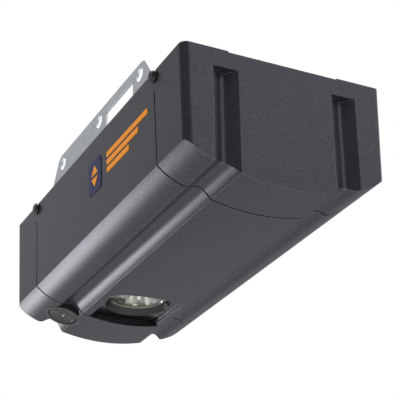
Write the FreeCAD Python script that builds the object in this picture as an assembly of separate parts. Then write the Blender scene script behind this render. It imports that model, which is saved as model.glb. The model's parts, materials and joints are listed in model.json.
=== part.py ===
import FreeCAD, Part
import math
import os

from FreeCAD import Rotation, Vector

# Garage door opener head, in millimetres. The origin is the middle of the raised rail seat on top of the
# steel deck. +X runs along the housing towards the transformer end, +Z points up to the ceiling.

# ---- driving dimensions: housing ----
LENGTH = 356.3          # between the end faces, at the lower edge of the walls
WIDTH = 170.0           # between the long sides, at the lower edge of the walls
WALL_TOP = -3.0         # top edge of the covers
WALL_HEIGHT = 81.0
WALL_BOTTOM = WALL_TOP - WALL_HEIGHT
DRAFT = 0.025           # outward lean of every wall, per millimetre of height
CORNER_R = 6.0          # on the near corners, at -Y
FAR_CORNER_R = 2.5      # on the far corners, at +Y
SHELL = 2.5             # wall thickness
FLOOR = 2.8             # floor thickness, measured upright
BULGE_DROP = 25.0       # the middle of the underside, below the walls
HULL_DEPTH = 32.0       # how far below the walls the trimming solids reach

SEAM_FRONT = 129.8      # middle of the gap between hood and front cap
SEAM_REAR = -126.6
SEAM_GAP = 1.7
TAB_GAP = 0.16          # the hairline that is left above the seam's top
SEAM_TOP = WALL_BOTTOM + 64.5
LIP_REACH = 5.0         # the caps' inner lip under the hood's edge
LIP_GAP = 0.4
LIP_T = 1.5

FLUTE_Y = (-50.8, 52.8)  # middles of the flutes in the front face; the rear face has them the other way round
FLUTE_HALF = 11.0
FLUTE_DEPTH = 7.6
FLUTE_R = 6.0
FLUTE_TOP = WALL_BOTTOM + 66.0
FLUTE_RUNOUT = 3.0

# ---- driving dimensions: deck and hangers ----
SHEET = 2.0
SEAT_LENGTH = 320.0
SEAT_HALF = 24.0
DECK_TOP = -SHEET
DECK_BOTTOM = -2 * SHEET
DECK_HALF_X = 168.0
DECK_HALF_Y = 80.0
DECK_SKIRT = 12.0
HANGER_Y = 77.0
HANGER_TOP = 32.5
HANGER_FOOT_HALF = 118.0
HANGER_TOP_HALF = 93.5
HANGER_R = 12.0
HANGER_HOLE_R = 6.0
HANGER_HOLE_Z = 22.7
HANGER_PITCH = 84.6
HANGER_SLOT = (15.0, 71.0, 4.0, 23.7)
HANGER_BOLT_X = (-100.0, -30.0, 30.0, 100.0)
HANGER_BOLT_Y = 67.0

COVER_SCREW_Z = WALL_BOTTOM + 77.0
COVER_SCREW_R = 5.5

# ---- driving dimensions: lamp and its recess ----
LAMP_X = -92.5
LAMP_R = 25.5
LAMP_RIM_Z = WALL_BOTTOM - 12.0
RECESS_X = -101.0
RECESS_R = 45.0
RECESS_HALF = 35.0
RECESS_FLOOR = WALL_BOTTOM - 16.7
RECESS_STEPS = ((0.0, -21.9), (1.3, -20.1), (2.6, -18.3))
RECESS_LIP = 3.9

# ---- driving dimensions: worm drive ----
MODULE = 1.5
WHEEL_TEETH = 36
WHEEL_PITCH_R = MODULE * WHEEL_TEETH / 2
WHEEL_FACE = 10.0
WORM_PITCH_R = 8.5
WORM_LEAD = math.pi * MODULE
WORM_LENGTH = 34.0
ADDENDUM = 1.3
DEDENDUM = 1.8
TOOTH_HALF = 0.96       # half of a tooth at the pitch line: a quarter of the pitch, less backlash
PRESSURE = math.radians(20)
DRIVE_X = 40.0
DRIVE_Z = -36.0
WORM_Y = -(WHEEL_PITCH_R + WORM_PITCH_R)
SHAFT_R = 7.0
MOTOR_SHAFT_R = 4.0
RUNNING = 0.04          # radial clearance of a running fit
SEATED = 0.02           # radial clearance of a part fixed in its seat

# ---- driving dimensions: button ----
BUTTON_POS = Vector(-148.0, -51.5, WALL_BOTTOM - 17.0)
BUTTON_TILT = -16.9     # degrees about X
BUTTON_R = 13.3
BEZEL_R = 16.5
BUTTON_TRAVEL = 0.8


# ---- small helpers ----
def box(x0, x1, y0, y1, z0, z1):
    return Part.makeBox(x1 - x0, y1 - y0, z1 - z0, Vector(x0, y0, z0))


def rod(r, start, end):
    along = end - start
    return Part.makeCylinder(r, along.Length, start, along)


def upright(r, x, y, z0, z1):
    return Part.makeCylinder(r, z1 - z0, Vector(x, y, z0))


def along_x(r, x0, x1, y=WORM_Y, z=DRIVE_Z):
    return Part.makeCylinder(r, x1 - x0, Vector(x0, y, z), Vector(1, 0, 0))


def join(shapes):
    return shapes[0].fuse(list(shapes[1:])).removeSplitter()


def group(shapes):
    return Part.makeCompound(list(shapes))


def polygon(points):
    return Part.Face(Part.makePolygon(list(points) + [points[0]]))


def turned(points, centre, axis=Vector(0, 0, 1)):
    """A solid of revolution from (radius, height) points, standing on centre along axis."""
    face = polygon([Vector(r, 0, h) for r, h in points])
    solid = face.revolve(Vector(0, 0, 0), Vector(0, 0, 1), 360)
    solid.Placement = FreeCAD.Placement(centre, Rotation(Vector(0, 0, 1), axis))
    return solid


def rounded_outline(x0, x1, y0, y1, r, z, far_r=None):
    """A closed wire: a rectangle with round corners, at height z. far_r is for the corners at y1."""
    arcs = []
    for sx, sy in ((1, 1), (-1, 1), (-1, -1), (1, -1)):
        radius = far_r if far_r and sy > 0 else r
        half = radius * math.sqrt(0.5)
        cx = x1 - radius if sx > 0 else x0 + radius
        cy = y1 - radius if sy > 0 else y0 + radius
        from_x = Vector(cx + sx * radius, cy, z)
        from_y = Vector(cx, cy + sy * radius, z)
        middle = Vector(cx + sx * half, cy + sy * half, z)
        ends = (from_x, from_y) if sx * sy > 0 else (from_y, from_x)
        arcs.append(Part.Arc(ends[0], middle, ends[1]).toShape())
    edges = []
    for arc, after in zip(arcs, arcs[1:] + arcs[:1]):
        edges += [arc, Part.makeLine(arc.Vertexes[1].Point, after.Vertexes[0].Point)]
    return Part.Wire(edges)


def rounded_plate(x0, x1, y0, y1, r, z0, z1):
    return Part.Face(rounded_outline(x0, x1, y0, y1, r, z0)).extrude(Vector(0, 0, z1 - z0))


def centred_plate(half_x, half_y, r, z0, z1):
    return rounded_plate(-half_x, half_x, -half_y, half_y, r, z0, z1)


def tangent_arcs(start, heading, ends):
    """Arcs end to end, each leaving in the direction in which the one before arrives."""
    edges = []
    for end in ends:
        chord = end - start
        along = Vector(chord).normalize()
        share = heading.dot(along)
        side = heading - along * share
        middle = start + chord * 0.5 + side * (chord.Length / 2 / (1 + share))
        edges.append(Part.Arc(start, middle, end).toShape())
        heading = along * (2 * share) - heading
        start = end
    return edges


def mirrored_y(shape):
    return shape.mirror(Vector(0, 0, 0), Vector(0, 1, 0))


def pan_screw(r, head_r, head_h, length, at, down=Vector(0, 0, 1)):
    """A round-headed screw: the head stands on the point at, and the shank runs along down from there."""
    crown = head_r * 0.7
    points = [(0, -head_h), (crown, -head_h * 0.92), (head_r * 0.93, -head_h * 0.5), (head_r, 0), (r, 0),
              (r, length), (0, length)]
    body = turned(points, at, down)
    slot = box(-head_r * 0.6, head_r * 0.6, -0.5, 0.5, -head_h - 1, -head_h * 0.55)
    cross = slot.fuse(slot.rotated(Vector(0, 0, 0), Vector(0, 0, 1), 90))
    cross.Placement = FreeCAD.Placement(at, Rotation(Vector(0, 0, 1), down)).multiply(cross.Placement)
    return body.cut(cross)


# ---- the covers ----
def underside_edges(lift):
    """The underside's section, from one side to the other: slope, ridge, cove, edge, and a shallow bulge."""
    def point(y, drop):
        return Vector(0, y, WALL_BOTTOM + drop + lift)

    heading = Vector(0, -math.cos(math.radians(48.8)), -math.sin(math.radians(48.8)))
    half = tangent_arcs(point(87.5, 2.6), heading,
                        [point(62.8, -13.2), point(58.9, -12.75), point(45.6, -14.0), point(40.3, -20.0)])
    bulge = Part.Arc(point(40.3, -20.0), point(0, -BULGE_DROP), point(-40.3, -20.0)).toShape()
    other = [edge.mirror(Vector(0, 0, 0), Vector(0, 1, 0)) for edge in reversed(half)]
    return half + [bulge] + other


def housing_body(inset, lift, top=WALL_TOP):
    """The housing's outside, or a copy of it moved inwards: leaning walls with the shaped underside."""
    side = 100.0
    rim = WALL_BOTTOM + lift + 2.6
    roof = top + 1
    section = underside_edges(lift) + [
        Part.makeLine(Vector(0, -87.5, rim), Vector(0, -side, rim + 12)),
        Part.makeLine(Vector(0, -side, rim + 12), Vector(0, -side, roof)),
        Part.makeLine(Vector(0, -side, roof), Vector(0, side, roof)),
        Part.makeLine(Vector(0, side, roof), Vector(0, side, rim + 12)),
        Part.makeLine(Vector(0, side, rim + 12), Vector(0, 87.5, rim)),
    ]
    prism = Part.Face(Part.Wire(Part.__sortEdges__(section))).extrude(Vector(2 * LENGTH, 0, 0))
    prism.translate(Vector(-LENGTH, 0, 0))

    def level(z):
        lean = DRAFT * (z - WALL_BOTTOM) - inset
        x, y = LENGTH / 2 + lean, WIDTH / 2 + lean
        near_r, far_r = max(CORNER_R - inset, 1.0), max(FAR_CORNER_R - inset, 0.6)
        return rounded_outline(-x, x, -y, y, near_r, z, far_r)

    walls = Part.makeLoft([level(WALL_BOTTOM - HULL_DEPTH), level(top)], True, True)
    return walls.common(prism)


def flute(grow):
    """The tool for one flute in the front end face: a round-bottomed V that leans with the wall."""
    half_angle = math.atan2(FLUTE_HALF, FLUTE_DEPTH)
    tip = -FLUTE_DEPTH - grow / math.sin(half_angle)
    reach = FLUTE_R / math.tan(half_angle)
    open_x = 4.0
    bottom_z = WALL_BOTTOM - HULL_DEPTH

    def on_flank(distance, side):
        return Vector(tip + distance * math.cos(half_angle), side * distance * math.sin(half_angle), bottom_z)

    far = (open_x - tip) / math.cos(half_angle)
    root = Vector(tip + FLUTE_R / math.sin(half_angle) - FLUTE_R, 0, bottom_z)
    outline = Part.Wire([
        Part.makeLine(on_flank(far, -1), on_flank(reach, -1)),
        Part.Arc(on_flank(reach, -1), root, on_flank(reach, 1)).toShape(),
        Part.makeLine(on_flank(reach, 1), on_flank(far, 1)),
        Part.makeLine(on_flank(far, 1), on_flank(far, -1)),
    ])
    prism = Part.Face(outline).extrude(Vector(0, 0, FLUTE_TOP + grow + 10 - bottom_z))
    rise = FLUTE_RUNOUT / FLUTE_DEPTH
    top = FLUTE_TOP + grow
    corners = ((-30, top - 30 * rise), (20, top + 20 * rise), (20, top + 60), (-30, top + 60))
    roof = polygon([Vector(x, -40, z) for x, z in corners]).extrude(Vector(0, 80, 0))
    tool = prism.cut(roof)
    tool.rotate(Vector(0, 0, WALL_BOTTOM), Vector(0, 1, 0), math.degrees(math.atan(DRAFT)))
    tool.translate(Vector(LENGTH / 2, 0, 0))
    return tool


def flutes(grow):
    tools = []
    for middle in FLUTE_Y:
        tool = flute(grow)
        tool.translate(Vector(0, middle, 0))
        tools += [tool, tool.rotated(Vector(0, 0, 0), Vector(0, 0, 1), 180)]
    return tools


def cover_shell():
    outside = housing_body(0, 0).cut(flutes(0))
    inside = housing_body(SHELL, FLOOR, WALL_TOP + 4).cut(flutes(SHELL))
    return outside.cut(inside)


def lip_ring(x0, x1, start_inset):
    """A band just inside the covers, from start_inset inwards, between two stations."""
    outer = housing_body(start_inset, FLOOR - SHELL + start_inset)
    inner_inset = SHELL + LIP_GAP + LIP_T
    inner = housing_body(inner_inset, FLOOR - SHELL + inner_inset, WALL_TOP + 4)
    return outer.common(box(x0, x1, -95, 95, -130, 0)).cut(inner)


def cap_lip(seam, towards_hood):
    """The lip that a cap pushes under the hood's edge, with its root on the cap's wall."""
    edge, tip, root = seam, seam + towards_hood * (LIP_REACH + SEAM_GAP / 2), seam - towards_hood * 4.0
    reach = lip_ring(min(edge, tip), max(edge, tip), SHELL + LIP_GAP)
    start = seam - towards_hood * SEAM_GAP / 2
    base = lip_ring(min(start, root), max(start, root), SHELL - 0.3)
    bridge = lip_ring(min(edge, start), max(edge, start), SHELL + LIP_GAP)
    return [reach, bridge, base]


def screw_bosses(seam):
    """Bosses behind the cover screws, from the lip to the deck's skirt."""
    outer = WIDTH / 2 + DRAFT * (COVER_SCREW_Z - WALL_BOTTOM) - SHELL - LIP_GAP - 0.5
    return [rod(4.2, Vector(seam, side * (DECK_HALF_Y + 0.1), COVER_SCREW_Z),
                Vector(seam, side * outer, COVER_SCREW_Z)) for side in (-1, 1)]


def end_cap(shell, seam, outward):
    """One end cap: its part of the shell, the lip, and the bosses for the cover screws."""
    lower_edge = seam + outward * SEAM_GAP / 2
    upper_edge = seam - outward * (SEAM_GAP / 2 - TAB_GAP)
    end = outward * 200
    lower = box(min(lower_edge, end), max(lower_edge, end), -95, 95, -130, SEAM_TOP)
    upper = box(min(upper_edge, end), max(upper_edge, end), -95, 95, SEAM_TOP, 5)
    cap = shell.common(lower.fuse(upper))
    cap = join([cap] + cap_lip(seam, -outward) + screw_bosses(seam))
    cap = cap.cut([rod(2.4, Vector(seam, side * 70, COVER_SCREW_Z), Vector(seam, side * 95, COVER_SCREW_Z))
                   for side in (-1, 1)])
    rail_gap = box(min(outward * 170, end), max(outward * 170, end), -48, 48, WALL_TOP - 1, 5)
    return cap.cut(rail_gap)


def front_end_cap(shell):
    return end_cap(shell, SEAM_FRONT, 1)


def rear_end_cap(shell):
    cap = end_cap(shell, SEAM_REAR, -1)
    edge = SEAM_REAR - SEAM_GAP / 2
    lamp_room = box(edge, SEAM_REAR + 20, -RECESS_HALF - 6, RECESS_HALF + 6, -130, WALL_BOTTOM - 8)
    button_hole = at_button(Part.makeCylinder(BEZEL_R + 0.05, 40, Vector(0, 0, -12)))
    carrier_room = at_button(Part.makeCylinder(19.4, 14, Vector(0, 0, 8.35)))
    wall = housing_body(0.5, 0.5).common(box(edge - 2.2, edge, -41, 41, -130, WALL_BOTTOM - 11))
    return join([cap.cut(lamp_room), wall]).cut([button_hole, carrier_room])


def recess_outline(inset, front, z0, z1):
    """The lamp recess in plan, moved inwards by inset: straight sides, a flat front and a round back."""
    r, half = RECESS_R - inset, RECESS_HALF - inset
    corner_x = RECESS_X + math.sqrt(r * r - half * half)
    wire = Part.Wire([
        Part.makeLine(Vector(corner_x, -half, z0), Vector(front, -half, z0)),
        Part.makeLine(Vector(front, -half, z0), Vector(front, half, z0)),
        Part.makeLine(Vector(front, half, z0), Vector(corner_x, half, z0)),
        Part.Arc(Vector(corner_x, half, z0), Vector(RECESS_X + r, 0, z0),
                 Vector(corner_x, -half, z0)).toShape(),
    ])
    return Part.Face(wire).extrude(Vector(0, 0, z1 - z0))


def centre_hood(shell):
    """The hood between the caps, with the stepped lamp recess and notches that clear the cover screws."""
    x0, x1 = SEAM_REAR + SEAM_GAP / 2, SEAM_FRONT - SEAM_GAP / 2
    hood = shell.common(box(x0, x1, -95, 95, -130, 5))
    deep = WALL_BOTTOM - HULL_DEPTH
    block = recess_outline(-1.8, x0, deep, RECESS_FLOOR + 1.7)
    hood = join([hood, block.common(housing_body(0, 0))])
    steps = [recess_outline(inset, x0 - 5, deep, WALL_BOTTOM + height) for inset, height in RECESS_STEPS]
    steps.append(recess_outline(RECESS_LIP, x0 - 5, deep, WALL_BOTTOM))
    steps.append(recess_outline(1.9, x0 - 5, RECESS_FLOOR - 0.02, WALL_BOTTOM))
    notches = []
    for seam in (SEAM_REAR, SEAM_FRONT):
        notches += [rod(3.4, Vector(seam, -95, COVER_SCREW_Z), Vector(seam, 95, COVER_SCREW_Z)),
                    box(seam - 3.4, seam + 3.4, -95, 95, COVER_SCREW_Z, 5)]
    return hood.cut(steps + notches)


def lamp_surround():
    """The black floor of the recess, with a cone that leads in to the lamp's rim."""
    plate = recess_outline(2.2, SEAM_REAR + SEAM_GAP / 2, RECESS_FLOOR, RECESS_FLOOR + 1.6)
    plate = plate.cut(upright(30.5, LAMP_X, 0, RECESS_FLOOR - 1, RECESS_FLOOR + 3))
    cone = turned([(29.6, 0), (31.0, 0), (31.0, 1.6), (27.8, 6.6), (26.3, 6.6), (26.3, 5.0)],
                  Vector(LAMP_X, 0, RECESS_FLOOR))
    return join([plate, cone])


def cover_screws():
    head = WIDTH / 2 + DRAFT * (COVER_SCREW_Z - WALL_BOTTOM) + 0.35
    screws = []
    for seam in (SEAM_REAR, SEAM_FRONT):
        for side in (-1, 1):
            at = Vector(seam, side * head, COVER_SCREW_Z)
            screws.append(pan_screw(1.9, COVER_SCREW_R, 3.0, head - DECK_HALF_Y + 6, at, Vector(0, -side, 0)))
    return group(screws)


def wall_plate(x0, x1, height0, height1, r, thickness):
    """A thin plate with round corners on the near side wall, at heights above the wall's lower edge."""
    plate = rounded_plate(x0, x1, height0, height1, r, 0, thickness)
    plate.rotate(Vector(0, 0, 0), Vector(1, 0, 0), 90 + math.degrees(math.atan(DRAFT)))
    plate.translate(Vector(0, -WIDTH / 2, WALL_BOTTOM))
    return plate


def side_badge():
    return wall_plate(-1, 25, 31, 61, 3, 0.5)


def side_stripes():
    """Three plain bars beside the badge, each shorter than the one above."""
    return group([wall_plate(37, 117 - 18 * n, 51.4 - 7 * n, 56 - 7 * n, 1.2, 0.4) for n in range(3)])


# ---- deck and hangers ----
def chassis_plate():
    """The pressed steel deck: a tray with a downturned skirt and a raised seat for the rail."""
    skirt_z = DECK_TOP - DECK_SKIRT
    tray = centred_plate(DECK_HALF_X, DECK_HALF_Y, 6, skirt_z, DECK_TOP)
    hollow = centred_plate(DECK_HALF_X - SHEET, DECK_HALF_Y - SHEET, 4, skirt_z - 1, DECK_BOTTOM)
    seat = centred_plate(SEAT_LENGTH / 2, SEAT_HALF, 5, DECK_BOTTOM, 0)
    under = centred_plate(SEAT_LENGTH / 2 - SHEET, SEAT_HALF - SHEET, 3, DECK_BOTTOM - 1, -SHEET)
    holes = [upright(16.6, DRIVE_X, 0, -10, 5), upright(9.0, -150, 45, -10, 5)]
    holes += [upright(3.2, x, side * HANGER_BOLT_Y, -10, 5) for x in HANGER_BOLT_X for side in (-1, 1)]
    holes += [upright(1.9, x, y, -10, 5) for x, y in GEARBOX_LUGS]
    holes += [rod(2.2, Vector(seam, -90, COVER_SCREW_Z), Vector(seam, 90, COVER_SCREW_Z))
              for seam in (SEAM_REAR, SEAM_FRONT)]
    return join([tray.cut(hollow), seat]).cut([under] + holes)


def hanger_left():
    """An L-shaped hanger: a foot on the deck and an upright plate with three holes and a slot."""
    def corner(x, z):
        return Vector(x, -HANGER_Y - SHEET / 2, z)

    low = DECK_TOP
    left, right = Vector(-HANGER_FOOT_HALF, 0, low), Vector(HANGER_FOOT_HALF, 0, low)
    slope = math.atan2(HANGER_TOP - low, HANGER_FOOT_HALF - HANGER_TOP_HALF)
    cut_back = HANGER_R * math.tan(slope / 2)
    down = Vector(math.cos(slope), 0, -math.sin(slope))
    tip = Vector(HANGER_TOP_HALF, 0, HANGER_TOP)
    start = tip - Vector(cut_back, 0, 0)
    end = tip + down * cut_back
    centre = start - Vector(0, 0, HANGER_R)
    out = ((start - centre) + (end - centre)).normalize()
    middle = centre + out * HANGER_R

    def place(v, flip=1):
        return corner(flip * v.x, v.z)

    outline = Part.Wire([
        Part.makeLine(place(left), place(right)),
        Part.makeLine(place(right), place(end)),
        Part.Arc(place(end), place(middle), place(start)).toShape(),
        Part.makeLine(place(start), place(start, -1)),
        Part.Arc(place(start, -1), place(middle, -1), place(end, -1)).toShape(),
        Part.makeLine(place(end, -1), place(left)),
    ])
    upright_part = Part.Face(outline).extrude(Vector(0, SHEET, 0))
    foot_half = HANGER_FOOT_HALF - 4
    foot = box(-foot_half, foot_half, -HANGER_Y - SHEET / 2, -HANGER_BOLT_Y + 8, low, low + SHEET)
    tools = [rod(HANGER_HOLE_R, Vector(x, -90, HANGER_HOLE_Z), Vector(x, -60, HANGER_HOLE_Z))
             for x in (-HANGER_PITCH, 0, HANGER_PITCH)]
    x0, x1, z0, z1 = HANGER_SLOT
    tools.append(box(x0, x1, -90, -70, z0, z1))
    tools += [upright(3.2, x, -HANGER_BOLT_Y, -10, 5) for x in HANGER_BOLT_X]
    return join([upright_part, foot]).cut(tools)


def hexagon(r, x, y, z0, z1):
    corners = [Vector(x + r * math.cos(math.radians(60 * n)), y + r * math.sin(math.radians(60 * n)), z0)
               for n in range(6)]
    return polygon(corners).extrude(Vector(0, 0, z1 - z0))


def hanger_bolts():
    top = DECK_TOP + SHEET
    bolts = []
    for x in HANGER_BOLT_X:
        for side in (-1, 1):
            y = side * HANGER_BOLT_Y
            head = hexagon(5.5, x, y, top, top + 4).fuse(upright(6.0, x, y, top, top + 0.8))
            bolts.append(head.fuse(upright(3.0, x, y, DECK_BOTTOM - 7, top)).removeSplitter())
    return group(bolts)


def hanger_nuts():
    return group([hexagon(5.5, x, side * HANGER_BOLT_Y, DECK_BOTTOM - 5, DECK_BOTTOM)
                  .cut(upright(3.0 + SEATED, x, side * HANGER_BOLT_Y, -20, 0))
                  for x in HANGER_BOLT_X for side in (-1, 1)])


def inlet_grommet():
    """The rubber grommet in the deck where a supply lead would enter."""
    points = [(4.0, -3.0), (8.0, -3.0), (11.5, -1.6), (11.5, 0), (8.9, 0), (8.9, 2.0), (11.5, 2.0)]
    return turned(points + [(10.5, 4.5), (4.0, 4.5)], Vector(-150, 45, DECK_BOTTOM))


# ---- worm gearbox ----
GEARBOX_LUGS = ((12.0, 30.0), (68.0, 30.0), (12.0, -55.0), (68.0, -55.0))
MOTOR_BOLT_Y = (WORM_Y - 22.2, WORM_Y + 22.2)
WHEEL_BOX_R = 33.5
GEARBOX_FLOOR = -51.0


def gearbox_housing():
    """A casting with a round wheel chamber, a tunnel for the worm and four legs up to the deck."""
    chamber = upright(WHEEL_BOX_R, DRIVE_X, 0, GEARBOX_FLOOR, -24)
    tunnel = rounded_plate(6, 74, WORM_Y - 15, -14, 4, GEARBOX_FLOOR, -21)
    neck = upright(18, DRIVE_X, 0, -25, DECK_BOTTOM - 0.2).fuse(upright(16, DRIVE_X, 0, -25, -SHEET - 0.1))
    legs, screws = [], []
    for x, y in GEARBOX_LUGS:
        side = -1 if y < 0 else 1
        inner_y = y - side * 14
        legs.append(upright(6, x, y, -30, DECK_BOTTOM))
        legs.append(box(x - 4, x + 4, min(y, inner_y), max(y, inner_y), -30, -22))
        screws.append(upright(1.7, x, y, -26, 0))
    flange = along_x(26, 6, 11).cut(upright(WHEEL_BOX_R + 0.5, DRIVE_X, 0, GEARBOX_FLOOR - 20, GEARBOX_FLOOR))
    body = join([chamber, tunnel, neck, flange] + legs)
    room = [upright(29.7, DRIVE_X, 0, -60, -27.5), along_x(12.5, 18, 62), along_x(11, 2, 80),
            upright(SHAFT_R + 3 + SEATED, DRIVE_X, 0, -30, 0)]
    holes = [upright(1.3, x, y, GEARBOX_FLOOR - 1, GEARBOX_FLOOR + 9) for x, y in cover_screw_places()]
    holes += [rod(1.6, Vector(0, y, DRIVE_Z), Vector(20, y, DRIVE_Z)) for y in MOTOR_BOLT_Y]
    return body.cut(room + screws + holes)


def cover_screw_places():
    angles = [math.radians(a) for a in (20, 90, 160)]
    return [(DRIVE_X + 31.3 * math.cos(a), 31.3 * math.sin(a)) for a in angles]


def gearbox_cover():
    """The plate under the wheel chamber, with a spigot and a boss for the lower bush."""
    bore = 9.0 + SEATED
    plate = [(bore, -3), (WHEEL_BOX_R, -3), (WHEEL_BOX_R, 0)]
    spigot = [(29.5, 0), (29.5, 3.5), (13, 3.5), (13, 5), (bore, 5)]
    cover = turned(plate + spigot, Vector(DRIVE_X, 0, GEARBOX_FLOOR))
    return cover.cut([upright(1.7, x, y, -70, GEARBOX_FLOOR + 1) for x, y in cover_screw_places()])


def gearbox_screws():
    """The cover's three screws, and four that hang the gearbox from the deck."""
    under = [pan_screw(1.2, 2.8, 1.8, 9, Vector(x, y, GEARBOX_FLOOR - 3)) for x, y in cover_screw_places()]
    above = [pan_screw(1.6, 3.2, 1.9, 14, Vector(x, y, DECK_TOP), Vector(0, 0, -1)) for x, y in GEARBOX_LUGS]
    return group(under + above)


def output_bushes():
    """The upper bush in the housing's neck and the lower one in the cover."""
    inner = SHAFT_R + RUNNING
    return group([turned([(inner, z0), (r, z0), (r, z1), (inner, z1)], Vector(DRIVE_X, 0, 0))
                  for r, z0, z1 in ((SHAFT_R + 3, -26, -5), (9.0, -54, -46.2))])


def wheel_outline(z, turn):
    """The wheel's toothed outline at one height, with straight flanks and turned by an angle."""
    root, tip = WHEEL_PITCH_R - DEDENDUM, WHEEL_PITCH_R + ADDENDUM
    root_half = (TOOTH_HALF + DEDENDUM * math.tan(PRESSURE)) / root
    tip_half = (TOOTH_HALF - ADDENDUM * math.tan(PRESSURE)) / tip
    points = []
    for tooth in range(WHEEL_TEETH):
        middle = 2 * math.pi * (tooth + 0.5) / WHEEL_TEETH + turn - math.pi / 2
        for r, a in ((root, -root_half), (tip, -tip_half), (tip, tip_half), (root, root_half)):
            points.append(Vector(DRIVE_X + r * math.cos(middle + a), r * math.sin(middle + a), z))
    return Part.makePolygon(points + [points[0]])


def worm_wheel():
    """A helical wheel. A gap between two teeth faces the worm at the middle of its face."""
    lead_angle = math.atan(WORM_LEAD / (2 * math.pi * WORM_PITCH_R))
    half = WHEEL_FACE / 2
    turn = half * math.tan(lead_angle) / WHEEL_PITCH_R
    ends = [wheel_outline(DRIVE_Z - half, -turn), wheel_outline(DRIVE_Z + half, turn)]
    rim = Part.makeLoft(ends, True, True)
    hub = upright(13, DRIVE_X, 0, DRIVE_Z - 7.5, DRIVE_Z + 7.5)
    recess = [(15, half - 3), (22, half - 3), (22, half + 1), (15, half + 1)]
    web = turned(recess, Vector(DRIVE_X, 0, DRIVE_Z))
    web_low = web.mirror(Vector(DRIVE_X, 0, DRIVE_Z), Vector(0, 0, 1))
    wheel = rim.cut([web, web_low]).fuse(hub).removeSplitter()
    key = box(DRIVE_X + SHAFT_R - 1.6, DRIVE_X + SHAFT_R + 1.6, -1.5, 1.5, DRIVE_Z - 8, DRIVE_Z + 8)
    return wheel.cut([upright(SHAFT_R + SEATED, DRIVE_X, 0, -60, -20), key])


def wheel_key():
    return box(DRIVE_X + SHAFT_R - 1.4, DRIVE_X + SHAFT_R + 1.5, -1.45, 1.45, DRIVE_Z - 7, DRIVE_Z + 7)


def output_shaft():
    """The vertical shaft: seat for the wheel, a flat-sided drive end and a round pilot on top."""
    steps = [(0, -55), (SHAFT_R - 1, -55), (SHAFT_R, -54), (SHAFT_R, 18), (5.0, 18), (5.0, 27), (4.2, 27.8)]
    shaft = turned(steps + [(0, 27.8)], Vector(DRIVE_X, 0, 0))
    keyway = box(DRIVE_X + SHAFT_R - 1.5, DRIVE_X + SHAFT_R + 2, -1.5, 1.5, DRIVE_Z - 7.05, DRIVE_Z + 7.05)
    groove = turned([(SHAFT_R - 0.8, 15.4), (SHAFT_R + 1, 15.4), (SHAFT_R + 1, 16.6), (SHAFT_R - 0.8, 16.6)],
                    Vector(DRIVE_X, 0, 0))
    flat = box(DRIVE_X + SHAFT_R - 1.2, DRIVE_X + 20, -10, 10, 1, 15.4)
    return shaft.cut([keyway, groove, flat])


def drive_adapter():
    """The splined sleeve that turns the rail's sprocket."""
    teeth = 10
    outline = []
    for tooth in range(teeth):
        for r, step in ((11.0, -0.30), (13.2, -0.20), (13.2, 0.20), (11.0, 0.30)):
            a = 2 * math.pi * (tooth + step) / teeth
            outline.append(Vector(DRIVE_X + r * math.cos(a), r * math.sin(a), 1.2))
    sleeve = polygon(outline).extrude(Vector(0, 0, 14.0))
    bore = upright(SHAFT_R + SEATED, DRIVE_X, 0, 0, 20)
    bore = bore.cut(box(DRIVE_X + SHAFT_R - 1.15, DRIVE_X + 20, -10, 10, 0, 20))
    return sleeve.cut(bore)


def adapter_circlip():
    inner, outer = SHAFT_R - 0.75, SHAFT_R + 2.4
    ring = turned([(inner, 15.5), (outer, 15.5), (outer, 16.5), (inner, 16.5)], Vector(DRIVE_X, 0, 0))
    return ring.cut(box(DRIVE_X - 12, DRIVE_X - 4, -1.6, 1.6, 15, 17))


# ---- motor ----
MOTOR_FRONT = 5.9
MOTOR_BACK = -66.0
MOTOR_R = 26.0


def ring_x(outer, inner, x0, x1):
    return along_x(outer, x0, x1).cut(along_x(inner, x0 - 1, x1 + 1))


def motor_can():
    can = along_x(MOTOR_R, MOTOR_BACK, MOTOR_FRONT - 3)
    hollow = along_x(MOTOR_R - 1.6, MOTOR_BACK + 2, MOTOR_FRONT)
    hump = along_x(10, MOTOR_BACK - 4, MOTOR_BACK + 1)
    bore = along_x(MOTOR_SHAFT_R + RUNNING, MOTOR_BACK - 10, MOTOR_BACK + 5)
    return join([can, hump]).cut([hollow, bore] + motor_bolt_holes())


def motor_bolt_holes():
    return [rod(1.7, Vector(MOTOR_BACK - 5, y, DRIVE_Z), Vector(20, y, DRIVE_Z)) for y in MOTOR_BOLT_Y]


def motor_end_plate():
    plate = ring_x(MOTOR_R, 7, MOTOR_FRONT - 2.9, MOTOR_FRONT)
    spigot = ring_x(MOTOR_R - 1.7, 19, MOTOR_FRONT - 6, MOTOR_FRONT - 2.5)
    return join([plate, spigot]).cut(motor_bolt_holes())


def motor_magnets():
    ring = ring_x(MOTOR_R - 1.7, 20.4, MOTOR_BACK + 12, -14)
    gap = box(MOTOR_BACK, 0, WORM_Y - 30, WORM_Y + 30, DRIVE_Z - 7, DRIVE_Z + 7)
    return ring.cut(gap)


def motor_brushes():
    """Two carbon blocks on the commutator, above and below the shaft."""
    blocks = []
    for side in (-1, 1):
        near, far = DRIVE_Z + side * 8.0, DRIVE_Z + side * 18.0
        block = box(-9.5, -4.5, WORM_Y - 3, WORM_Y + 3, min(near, far), max(near, far))
        blocks.append(block.cut(along_x(9.3, -12, 0)))
    return group(blocks)


def motor_bolts():
    """Two long bolts from the back of the motor, between the magnets, into the gearbox flange."""
    length = MOTOR_FRONT - MOTOR_BACK + 8
    return group([pan_screw(1.5, 3.0, 1.8, length, Vector(MOTOR_BACK, y, DRIVE_Z), Vector(1, 0, 0))
                  for y in MOTOR_BOLT_Y])


def worm_bushes():
    return group([ring_x(11 - SEATED, MOTOR_SHAFT_R + RUNNING, 8, 16),
                  ring_x(11 - SEATED, MOTOR_SHAFT_R + RUNNING, 65, 73)])


def armature_shaft():
    return along_x(MOTOR_SHAFT_R, -78, 76)


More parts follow.
